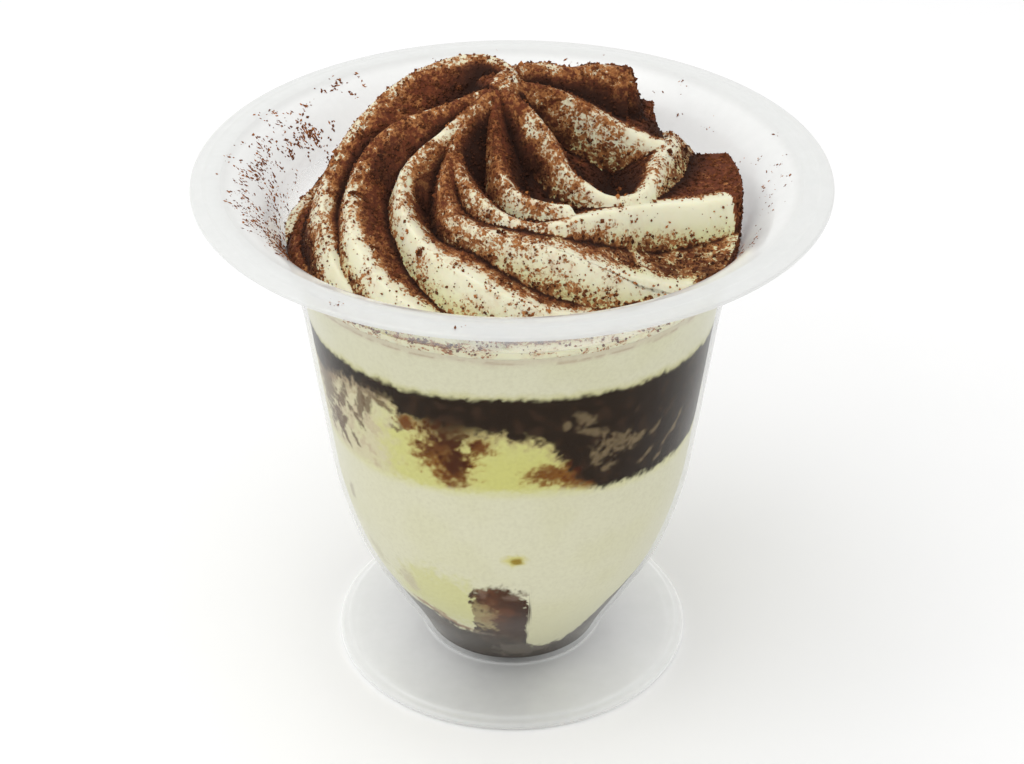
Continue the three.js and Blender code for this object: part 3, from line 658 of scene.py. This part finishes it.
def cream_surface(x, y):
    """Height of the swirl, its cocoa cover and how deep in a groove each place lies."""
    flat = np.column_stack([x, y, 0 * x])
    x = x + WAVER * (noise(flat, 3.2, 2) - 0.5)
    y = y + WAVER * (noise(flat + 30, 3.2, 2) - 0.5)
    core = SWIRL_CORE_PEAK - SWIRL_CORE_FALL * ((x - SWIRL_CENTRE[0]) ** 2 + (y - SWIRL_CENTRE[1]) ** 2)
    best = np.maximum(core, SWIRL_SKIRT)
    second = best - FAR_BELOW
    cover = np.where(core > SWIRL_SKIRT, 0.97, 0.3)
    from_crest = np.full(len(x), 3.0)
    for ridge in RIDGES:
        height, distance, share, inside, past = along_ridge(ridge, x, y)
        outer, crest, inner = (value_along(values, share) for values in ridge["dust"])
        flank = np.where(inside, inner, outer)
        dust = flank + (crest - flank) * smoothstep(3.2, 0.2, distance)
        if "end" in ridge:
            dust = np.where(past > 0.1, ridge["end"], dust)
        wins = height > best
        second = np.where(wins, best, np.maximum(second, height))
        cover = np.where(wins, dust, cover)
        from_crest = np.where(wins, distance, from_crest)
        best = np.maximum(best, height)
    groove = smoothstep(6.5, 0.0, best - second) * smoothstep(0.6, 2.0, from_crest)
    return best, cover, groove


def make_swirl():
    """The cream swirl from its side at the wall to its peak."""
    ring_share = np.arange(SWIRL_RINGS, 0, -1) / SWIRL_RINGS
    base_angle = np.arange(SWIRL_SIDES) * 2 * np.pi / SWIRL_SIDES

    def ring_xy(share, radius):
        turn = math.radians(SWIRL_TWIST) * max(0, (share - 0.4) / 0.6) ** 1.3
        x = SWIRL_CENTRE[0] * (1 - share) + share * radius * np.cos(base_angle + turn)
        y = SWIRL_CENTRE[1] * (1 - share) + share * radius * np.sin(base_angle + turn)
        return x, y

    edge_radius = inner_radius(SWIRL_SKIRT) + REACH_INTO_WALL
    edge_x, edge_y = ring_xy(1, edge_radius)
    edge_z, edge_cover, _ = cream_surface(edge_x, edge_y)
    radius = inner_radius(np.minimum(edge_z, SWIRL_SKIRT + 0.9)) + REACH_INTO_WALL
    rows, covers, grooves = [], [], []
    bottom = UPPER_CREAM_TOP
    turn = np.arctan2(edge_y, edge_x)
    for share in CAP_SHARES:
        low = share * (inner_radius(bottom) + REACH_INTO_WALL)
        rows.append(np.column_stack([low * np.cos(turn), low * np.sin(turn), bottom + 0 * turn]))
        covers.append(0 * turn)
        grooves.append(0 * turn)
    for step in range(SWIRL_SIDE_ROWS):
        z = bottom + (edge_z - bottom) * step / SWIRL_SIDE_ROWS
        side = np.minimum(inner_radius(z) + REACH_INTO_WALL, radius)
        rows.append(np.column_stack([side * np.cos(turn), side * np.sin(turn), z]))
        covers.append(0.25 + 0.75 * smoothstep(70, 72, edge_z))
        # The side rows count as lying a little in a groove: a bit more cocoa, and painted shade where the
        # swirl meets the wall.
        grooves.append(0.3 + 0 * turn)
    for share in ring_share:
        x, y = ring_xy(share, radius)
        z, cover, groove = cream_surface(x, y)
        rows.append(np.column_stack([x, y, z]))
        covers.append(cover)
        grooves.append(groove)
    top = cream_surface(np.array([SWIRL_CENTRE[0]]), np.array([SWIRL_CENTRE[1]]))
    ends = np.array([[0, 0, bottom], [*SWIRL_CENTRE, top[0][0]]])
    points = np.concatenate(rows + [ends])
    cover = np.concatenate(covers + [[0], top[1]])
    groove = np.concatenate(grooves + [[0], top[2]])
    broad = noise(points + 11, 3.5, 2) - 0.5
    close = noise(points + 70, 1.1, 2) - 0.5
    uneven = (0.4 * broad + 0.4 * close) * (0.3 + 0.7 * smoothstep(0.0, 0.35, cover))
    cover = cover + 0.3 * groove * (cover > 0.1) + uneven
    cover = np.clip(cover, 0, 1)
    # The powder's own thickness and the cream's uneven skin.
    lift = POWDER_THICKNESS * cover * noise(points + 40, 0.5, 2)
    lift = lift + SKIN_RELIEF * (noise(points + 20, 1.2, 2) - 0.5)
    top_rows = np.arange(len(points)) >= (len(CAP_SHARES) + SWIRL_SIDE_ROWS + 1) * SWIRL_SIDES
    points[:, 2] += np.where(top_rows, lift, 0)
    count = len(rows)
    piece = make_object("swirl_cream", points, ring_faces(count, SWIRL_SIDES), fans(count, SWIRL_SIDES))
    set_value(piece, "cocoa", cover)
    set_value(piece, "groove", groove)
    return piece, cover, groove


# ---- Cocoa as real grains ----

OCTAHEDRON = np.array([[1, 0, 0], [-1, 0, 0], [0, 1, 0], [0, -1, 0], [0, 0, 1], [0, 0, -1]], float)
OCTAHEDRON_FACES = np.array([
    [0, 2, 4], [2, 1, 4], [1, 3, 4], [3, 0, 4], [2, 0, 5], [1, 2, 5], [3, 1, 5], [0, 3, 5],
])


def random_turns(random, count):
    """Evenly spread random rotation matrices."""
    q = random.normal(size=(count, 4))
    w, x, y, z = (q / np.linalg.norm(q, axis=1, keepdims=True)).T
    return np.stack([
        np.stack([1 - 2 * (y * y + z * z), 2 * (x * y - z * w), 2 * (x * z + y * w)], -1),
        np.stack([2 * (x * y + z * w), 1 - 2 * (x * x + z * z), 2 * (y * z - x * w)], -1),
        np.stack([2 * (x * z - y * w), 2 * (y * z + x * w), 1 - 2 * (x * x + y * y)], -1),
    ], 1)


def grain_object(name, centres, sizes, turns, random, tints):
    """Many small angular grains in one mesh, each with its own tint."""
    count = len(centres)
    shape = OCTAHEDRON[None] * (0.75 + 0.5 * random.rand(count, 6, 1))
    corners = np.einsum("nij,nkj->nki", turns, shape * sizes[:, None, :]) + centres[:, None, :]
    faces = OCTAHEDRON_FACES[None] + 6 * np.arange(count)[:, None, None]
    piece = make_object(name, corners.reshape(-1, 3), None, faces.reshape(-1, 3))
    piece.data.shade_flat()
    set_value(piece, "tint", np.repeat(tints, 6))
    return piece


def sample_surface(piece, weights, count, random):
    """Random places on a piece in millimetres, with their normals and nearest points."""
    mesh = piece.data
    coords = np.empty(len(mesh.vertices) * 3)
    mesh.vertices.foreach_get("co", coords)
    coords = coords.reshape(-1, 3) / MM
    mesh.calc_loop_triangles()
    tris = np.empty(len(mesh.loop_triangles) * 3, int)
    mesh.loop_triangles.foreach_get("vertices", tris)
    tris = tris.reshape(-1, 3)
    a, b, c = coords[tris[:, 0]], coords[tris[:, 1]], coords[tris[:, 2]]
    cross = np.cross(b - a, c - a)
    area = np.linalg.norm(cross, axis=1)
    chance = area * weights[tris].mean(1)
    pick = random.choice(len(tris), count, p=chance / chance.sum())
    u, v = random.rand(2, count)
    flip = u + v > 1
    u, v = np.where(flip, 1 - u, u), np.where(flip, 1 - v, v)
    places = a[pick] + u[:, None] * (b - a)[pick] + v[:, None] * (c - a)[pick]
    normals = cross[pick] / np.maximum(area[pick], 1e-9)[:, None]
    return places, normals, tris[pick, 0]


def make_cocoa_grains(swirl, cover, groove):
    random = np.random.RandomState(5)
    coords = np.empty(len(swirl.data.vertices) * 3)
    swirl.data.vertices.foreach_get("co", coords)
    z = coords.reshape(-1, 3)[:, 2] / MM
    clumped = 0.25 + smoothstep(0.42, 0.62, noise(coords.reshape(-1, 3) / MM + 5, 1.1, 2))
    weights = np.where(z > UPPER_CREAM_TOP + 0.8, (0.005 + cover ** 1.6) * clumped, 0)
    places, normals, nearest = sample_surface(swirl, weights, GRAIN_COUNT, random)
    sizes = np.minimum(0.12 * np.exp(0.48 * random.normal(size=len(places))), GRAIN_LIMIT)
    bare = 1 - cover[nearest]
    # Painted shade: grains deep in a groove get darker tints.
    groove_shade = groove[nearest] * cover[nearest]
    tints = np.clip(0.2 + 0.6 * random.rand(len(places)) + 0.4 * bare - 0.8 * groove_shade, 0, 1)
    shapes = sizes[:, None] * (0.8 + 0.5 * random.rand(len(places), 3))
    return grain_object("cocoa_grains", places + 0.3 * sizes[:, None] * normals, shapes,
                        random_turns(random, len(places)), random, tints)


def make_cocoa_flecks():
    """Smears and specks of cocoa on the inside of the flare, many on the left, few elsewhere."""
    random = np.random.RandomState(8)
    angles, radii, sizes = [], [], []
    for centre, spread, low, high, smears, specks, size in [
        (176, 20, 34, 39, 34, 12, 0.14), (152, 12, 35, 40.5, 18, 11, 0.16),
        (204, 14, 33.5, 38.5, 40, 9, 0.1), (132, 8, 37, 40, 5, 9, 0.17),
        (146, 7, 33.5, 36, 7, 12, 0.22), (190, 26, 32.6, 34.5, 40, 9, 0.14),
        (225, 12, 33, 36, 26, 8, 0.08), (0, 14, 34.5, 38.5, 14, 4, 0.1),
        (-28, 14, 33, 36.5, 18, 4, 0.1), (58, 12, 37, 40, 4, 3, 0.12),
        (30, 26, 35, 40, 8, 3, 0.1), (95, 20, 36, 40, 9, 4, 0.12),
        (238, 4, 42, 43.6, 3, 4, 0.1), (262, 8, 42, 43.4, 1, 3, 0.1),
    ]:
        middle = centre + spread * random.normal(size=(smears, 1)) * 0.6
        radius = low + (high - low) * random.rand(smears, 1)
        heading = 2 * np.pi * random.rand(smears, 1)
        ahead = (0.4 + 1.1 * random.rand(smears, 1)) * random.normal(size=(smears, specks))
        aside = 0.3 * random.normal(size=(smears, specks))
        out = ahead * np.cos(heading) - aside * np.sin(heading)
        around = ahead * np.sin(heading) + aside * np.cos(heading)
        radii.append(np.clip(radius + out, 32.4, 43.8).ravel())
        angles.append((middle + np.degrees(around / radius)).ravel())
        spread_sizes = size * np.exp(0.5 * random.normal(size=(smears, specks)))
        sizes.append(np.minimum(spread_sizes, FLECK_LIMIT).ravel())
    angle, radius, size = map(np.concatenate, (angles, radii, sizes))
    turn = np.radians(angle)
    on_brim = radius > 41.5
    z = np.where(on_brim, RIM_HEIGHT, np.interp(radius, inner_wall[:, 0], inner_wall[:, 1]))
    slope = np.interp(radius, inner_wall[:, 0], np.gradient(inner_wall[:, 1], inner_wall[:, 0]))
    slope = np.where(on_brim, 0, slope)
    outward = np.column_stack([np.cos(turn), np.sin(turn), slope])
    outward /= np.linalg.norm(outward, axis=1, keepdims=True)
    around = np.column_stack([-np.sin(turn), np.cos(turn), 0 * turn])
    normal = np.cross(outward, around)
    twist = 2 * np.pi * random.rand(len(size), 1)
    long_way = outward * np.cos(twist) + around * np.sin(twist)
    turns = np.stack([long_way, np.cross(normal, long_way), normal], -1)
    stretch = 1 + 1.2 * random.rand(len(size)) ** 2
    shapes = np.column_stack([size * stretch, size * 0.8, size * 0.4])
    places = np.column_stack([radius * np.cos(turn), radius * np.sin(turn), z])
    places += 0.15 * size[:, None] * normal
    tints = 0.5 + 0.5 * random.rand(len(size))
    return grain_object("cocoa_flecks", places, shapes, turns, random, tints)


def make_cocoa_clumps():
    """The largest clumps, where the part has them."""
    state = CLUMP_SEED

    def chance():
        nonlocal state
        state = (state * 1664525 + 1013904223) % 4294967296
        return state / 4294967296

    swirl_radius = inner_radius(UPPER_CREAM_TOP + 0.15) - 0.3
    random = np.random.RandomState(3)
    centres, sizes = [], []
    for i in range(CLUMP_COUNT):
        angle = i * math.radians(137.5) + chance()
        radius = 0.88 * swirl_radius * math.sqrt((i + 0.5) / CLUMP_COUNT)
        x = SWIRL_CENTRE[0] + radius * math.cos(angle)
        y = SWIRL_CENTRE[1] + radius * math.sin(angle)
        size = CLUMP_RADIUS * (0.8 + 0.4 * chance())
        chance()  # the part's solid turns by this draw
        z = cream_surface(np.array([x]), np.array([y]))[0][0]
        # Each clump is a small heap of grains.
        offsets = random.normal(size=(GRAINS_IN_CLUMP, 3)) * size * 0.42
        centres.append(np.array([x, y, z]) + offsets)
        sizes.append(size * (0.28 + 0.25 * random.rand(GRAINS_IN_CLUMP, 3)))
    centres, sizes = np.concatenate(centres), np.concatenate(sizes)
    turns = random_turns(random, len(centres))
    return grain_object("cocoa_clumps", centres, sizes, turns, random, random.rand(len(centres)))


# ---- Materials ----

class Shader:
    """The nodes of one material, by short names."""

    def __init__(self, name):
        self.material = bpy.data.materials.new(name)
        self.material.use_nodes = True
        self.nodes = self.material.node_tree.nodes
        self.links = self.material.node_tree.links
        self.nodes.clear()
        self.where = self.add("ShaderNodeTexCoord").outputs["Object"]

    def add(self, kind, **settings):
        node = self.nodes.new(kind)
        for key, value in settings.items():
            setattr(node, key, value)
        return node

    def put(self, socket, value):
        if isinstance(value, bpy.types.NodeSocket):
            self.links.new(value, socket)
        else:
            socket.default_value = value

    def math(self, operation, *values, clamp=False):
        node = self.add("ShaderNodeMath", operation=operation, use_clamp=clamp)
        for socket, value in zip(node.inputs, values):
            self.put(socket, value)
        return node.outputs[0]

    def noise(self, millimetres, detail=2.0, roughness=0.5):
        node = self.add("ShaderNodeTexNoise")
        self.put(node.inputs["Vector"], self.where)
        node.inputs["Scale"].default_value = 1 / (millimetres * MM)
        node.inputs["Detail"].default_value = detail
        node.inputs["Roughness"].default_value = roughness
        return node.outputs["Fac"]

    def cells(self, millimetres):
        """A random number for each cell of a fine cell pattern, less towards the cell's edge."""
        node = self.add("ShaderNodeTexVoronoi")
        self.put(node.inputs["Vector"], self.where)
        node.inputs["Scale"].default_value = 1 / (millimetres * MM)
        colour = self.add("ShaderNodeSeparateColor")
        self.put(colour.inputs[0], node.outputs["Color"])
        towards_edge = self.math("MULTIPLY", node.outputs["Distance"], 0.35)
        return self.math("SUBTRACT", colour.outputs[0], towards_edge)

    def ramp(self, value, low, high):
        """0 at low, 1 at high."""
        node = self.add("ShaderNodeMapRange", interpolation_type="SMOOTHSTEP")
        self.put(node.inputs["Value"], value)
        node.inputs["From Min"].default_value = low
        node.inputs["From Max"].default_value = high
        return node.outputs["Result"]

    def between(self, value, low, high):
        """low where value is 0, high where it is 1."""
        return self.math("ADD", self.math("MULTIPLY", value, high - low), low)

    def mix(self, share, first, second):
        node = self.add("ShaderNodeMix", data_type="RGBA")
        self.put(node.inputs["Factor"], share)
        for socket, value in ((node.inputs["A"], first), (node.inputs["B"], second)):
            self.put(socket, value if isinstance(value, bpy.types.NodeSocket) else (*value, 1))
        return node.outputs["Result"]

    def value_of(self, name):
        return self.add("ShaderNodeAttribute", attribute_name=name).outputs["Fac"]

    def colour_of(self, name):
        return self.add("ShaderNodeAttribute", attribute_name=name).outputs["Color"]

    def bump(self, height, strength, millimetres):
        node = self.add("ShaderNodeBump")
        self.put(node.inputs["Height"], height)
        node.inputs["Strength"].default_value = strength
        node.inputs["Distance"].default_value = millimetres * MM
        return node.outputs["Normal"]

    def surface(self, inputs):
        node = self.add("ShaderNodeBsdfPrincipled")
        for name, value in inputs.items():
            is_colour = name == "Base Color" and isinstance(value, tuple)
            self.put(node.inputs[name], (*value, 1) if is_colour else value)
        return node.outputs["BSDF"]

    def finish(self, shader):
        output = self.add("ShaderNodeOutputMaterial")
        self.links.new(shader, output.inputs["Surface"])
        return self.material


def tone(*rgb):
    return tuple(float(v) for v in linear(*rgb))


CREAM_TONE = (230, 227, 200)
CREAM_SHADE = (208, 211, 132)
CREAM_PATCH = (222, 220, 180)
COCOA_RED = (116, 60, 34)
COCOA_BROWN = (88, 44, 27)
# Painted shade for cocoa deep in the grooves.
COCOA_GROOVE_SHADE = (42, 23, 15)
COCOA_TAN = (188, 128, 74)


def cup_material():
    shader = Shader("clear_plastic")
    layer = shader.add("ShaderNodeLayerWeight")
    layer.inputs["Blend"].default_value = 0.5
    edge = shader.math("MULTIPLY", shader.math("POWER", layer.outputs["Facing"], 5.0), 1.1)
    cloud = shader.between(shader.noise(6, 3), 0.85, 1.15)
    milk = shader.math("MULTIPLY", shader.value_of("milk"), cloud)
    share = shader.math("ADD", milk, edge, clamp=True)
    scuffs = shader.bump(shader.noise(1.8, 2), 0.05, 0.1)
    # The emission is the painted glow, in place of light through the thin plastic.
    plastic = shader.surface({
        "Base Color": tone(226, 227, 225), "Roughness": shader.between(shader.noise(3, 2), 0.1, 0.18),
        "IOR": 1.6, "Normal": scuffs,
        "Emission Color": shader.value_of("painted_glow"), "Emission Strength": 1.0,
    })
    clear = shader.add("ShaderNodeBsdfTransparent").outputs["BSDF"]
    mixed = shader.add("ShaderNodeMixShader")
    shader.put(mixed.inputs[0], share)
    shader.links.new(clear, mixed.inputs[1])
    shader.links.new(plastic, mixed.inputs[2])
    material = shader.finish(mixed.outputs[0])
    material.cycles.emission_sampling = "NONE"  # the glow is too faint to count as a lamp
    return material


def side_material():
    """The food's own colours along the wall, with fine mottling and an uneven skin."""
    shader = Shader("layer_side")
    speck = shader.noise(0.6, 3, 0.6)
    darker = shader.mix(1.0, shader.colour_of("paint"), (0.6, 0.55, 0.5))
    darker.node.blend_type = "MULTIPLY"
    share = shader.math("MULTIPLY", shader.ramp(speck, 0.35, 0.75), 0.16)
    colour = shader.mix(share, shader.colour_of("paint"), darker)
    normal = shader.bump(shader.noise(0.8, 3, 0.6), 0.3, 0.15)
    return shader.finish(shader.surface({
        "Base Color": colour, "Roughness": 0.6, "Specular IOR Level": 0.0, "Normal": normal,
    }))


def swirl_material():
    shader = Shader("dusted_cream")
    cover, groove = shader.value_of("cocoa"), shader.value_of("groove")
    grains = shader.math("ADD", shader.math("MULTIPLY", shader.cells(0.38), 0.38),
                         shader.math("MULTIPLY", shader.cells(0.9), 0.24))
    powder = shader.noise(0.3, 3, 0.65)
    chance = shader.math("ADD", grains, shader.math("MULTIPLY", powder, 0.6))
    wide_cover = shader.math("MULTIPLY", cover, 1.25)
    reach = shader.math("ADD", wide_cover, shader.math("SUBTRACT", chance, 1.12))
    mask = shader.ramp(reach, -0.06, 0.12)
    heaps = shader.math("MULTIPLY", shader.noise(1.2, 2), 0.4)
    thick = shader.ramp(shader.math("ADD", reach, heaps), 0.1, 0.75)
    mottling = shader.ramp(shader.noise(0.6, 3, 0.7), 0.35, 0.65)
    red = shader.mix(mottling, tone(*COCOA_RED), tone(*COCOA_BROWN))
    cocoa = shader.mix(thick, tone(*COCOA_TAN), red)
    # Painted shade: thick cocoa turns near black deep in the grooves.
    groove_shade = shader.math("MULTIPLY", groove, shader.ramp(cover, 0.45, 0.95))
    cocoa = shader.mix(groove_shade, cocoa, tone(*COCOA_GROOVE_SHADE))
    # Painted shade: bare cream turns yellow-green in the grooves.
    shade = shader.math("MULTIPLY", groove, 0.7)
    bare = shader.mix(shade, tone(*CREAM_TONE), tone(*CREAM_SHADE))
    patches = shader.math("MULTIPLY", shader.ramp(shader.noise(4, 2), 0.4, 0.7), 0.25)
    bare = shader.mix(patches, bare, tone(*CREAM_PATCH))
    thin_spots = shader.ramp(shader.noise(0.8, 3, 0.6), 0.3, 0.7)
    film = shader.math("MULTIPLY", shader.ramp(cover, 0.12, 0.75), thin_spots)
    bare = shader.mix(shader.math("MULTIPLY", film, 0.55), bare, tone(*COCOA_TAN))
    colour = shader.mix(mask, bare, cocoa)
    height = shader.math("ADD", shader.math("MULTIPLY", mask, shader.math("ADD", powder, 0.4)),
                         shader.math("MULTIPLY", shader.noise(1.5, 2), 0.3))
    return shader.finish(shader.surface({
        "Base Color": colour, "Roughness": shader.between(mask, 0.42, 0.95),
        "Specular IOR Level": 0.25, "Subsurface Weight": shader.between(mask, 0.35, 0.0),
        "Subsurface Radius": (1.6 * MM, 1.2 * MM, 0.7 * MM), "Subsurface Scale": 1.0,
        "Normal": shader.bump(height, 0.6, 0.25),
    }))


def cocoa_material():
    shader = Shader("cocoa_powder")
    tint = shader.value_of("tint")
    colour = shader.mix(tint, tone(62, 34, 21), tone(140, 80, 44))
    colour = shader.mix(shader.ramp(tint, 0.75, 1.0), colour, tone(182, 116, 64))
    fine = shader.noise(0.12, 2)
    colour = shader.mix(shader.math("MULTIPLY", fine, 0.3), colour, tone(40, 22, 16))
    return shader.finish(shader.surface({
        "Base Color": colour, "Roughness": 0.95, "Specular IOR Level": 0.2,
        "Normal": shader.bump(fine, 0.5, 0.05),
    }))


def floor_material():
    shader = Shader("pale_floor")
    colour = shader.mix(shader.noise(40, 2), tone(250, 250, 250), tone(247, 247, 247))
    return shader.finish(shader.surface({"Base Color": colour, "Roughness": 0.8}))


# ---- Stage ----

CAMERA_PLACE = (0, -0.29258, 0.22960)
CAMERA_PITCH = 32.355
CAMERA_LENS = 82.16
KEY_PLACE = (-0.3, -0.2, 0.8)
KEY_AIM = (0, 0, 0.05)
KEY_POWER = 2.9
KEY_SIZE = 0.9
WORLD_STRENGTH = 0.88
FLOOR_HALF = 1500
FLOOR_Z = -0.2


def add_camera():
    data = bpy.data.cameras.new("camera")
    data.lens = CAMERA_LENS
    data.sensor_width = 36
    data.clip_start = 0.01
    camera = bpy.data.objects.new("camera", data)
    camera.location = CAMERA_PLACE
    camera.rotation_euler = (math.radians(90 - CAMERA_PITCH), 0, 0)
    bpy.context.scene.collection.objects.link(camera)
    bpy.context.scene.camera = camera


def add_key_light():
    data = bpy.data.lights.new("key", "AREA")
    data.energy = KEY_POWER
    data.size = KEY_SIZE
    lamp = bpy.data.objects.new("key", data)
    lamp.location = KEY_PLACE
    aim = Vector(KEY_AIM) - Vector(KEY_PLACE)
    lamp.rotation_euler = aim.to_track_quat("-Z", "Y").to_euler()
    bpy.context.scene.collection.objects.link(lamp)


def add_stage():
    signs = [(-1, -1), (1, -1), (1, 1), (-1, 1)]
    corners = [[a * FLOOR_HALF, b * FLOOR_HALF, FLOOR_Z] for a, b in signs]
    floor = make_object("floor", corners, np.array([[0, 1, 2, 3]]))
    floor.data.materials.append(floor_material())
    world = bpy.data.worlds.new("studio")
    world.use_nodes = True
    background = world.node_tree.nodes["Background"]
    background.inputs["Color"].default_value = (1, 1, 1, 1)
    background.inputs["Strength"].default_value = WORLD_STRENGTH
    bpy.context.scene.world = world
    add_key_light()
    bpy.context.scene.view_settings.view_transform = "Standard"


# ---- The dessert ----

add_camera()
add_stage()

cup = make_cup()
finish_piece(cup, cup_material(), ["cup"])

side_skin = side_material()
for name, node, bottom, top, rows, slot in [
    ("sponge_bottom_layer", "sponge_bottom", floor_level, sponge_base, 64, "soaked_sponge"),
    ("cream_lower_layer", "cream_lower", sponge_base, lower_cream, 92, "cream"),
    ("sponge_upper_layer", "sponge_upper", lower_cream, upper_sponge, 78, "soaked_sponge"),
    ("cream_upper_layer", "cream_upper", upper_sponge, upper_cream, 26, "cream"),
]:
    layer, points = make_layer(name, bottom, top, rows)
    set_colour(layer, "paint", side_colours(points))
    finish_piece(layer, side_skin, [node])

swirl, swirl_cover, swirl_groove = make_swirl()
finish_piece(swirl, swirl_material(), ["cream_swirl"])
powder = cocoa_material()
grains = make_cocoa_grains(swirl, swirl_cover, swirl_groove)
for piece in (grains, make_cocoa_flecks(), make_cocoa_clumps()):
    finish_piece(piece, powder)
